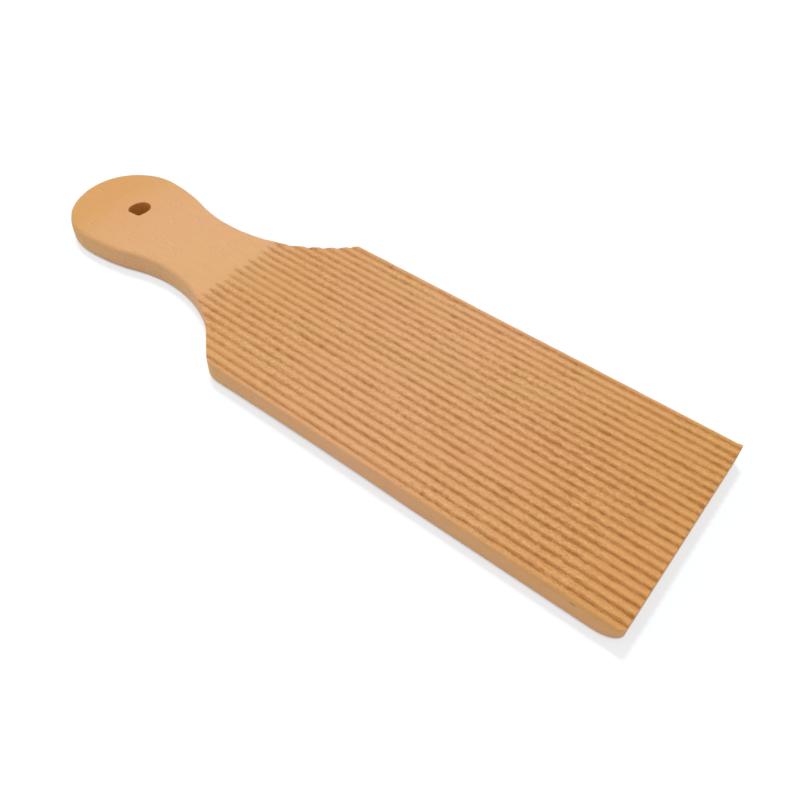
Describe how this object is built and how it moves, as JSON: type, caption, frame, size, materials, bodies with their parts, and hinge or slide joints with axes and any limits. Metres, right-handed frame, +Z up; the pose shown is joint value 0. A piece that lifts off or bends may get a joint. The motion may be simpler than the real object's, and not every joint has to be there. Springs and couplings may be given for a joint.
{
  "type": "gnocchi board",
  "caption": "Flat beech board with lengthwise ridges for rolling gnocchi, and a waisted, round-ended handle with a hanging hole.",
  "frame": {"origin": "under the middle of the board's length and width, on the flat face that it lies on", "axes": "+X along the board, from the handle's end to the blade's end; +Y across the board; +Z up, out of the ridged face"},
  "size_m": [0.1994, 0.0604, 0.0067],
  "materials": {
    "beech": "bare wood, planed, ridged by a moulding cutter and lightly sanded"
  },
  "bodies": {
    "root": {"gnocchi_board": "beech"}
  },
  "joints": []
}
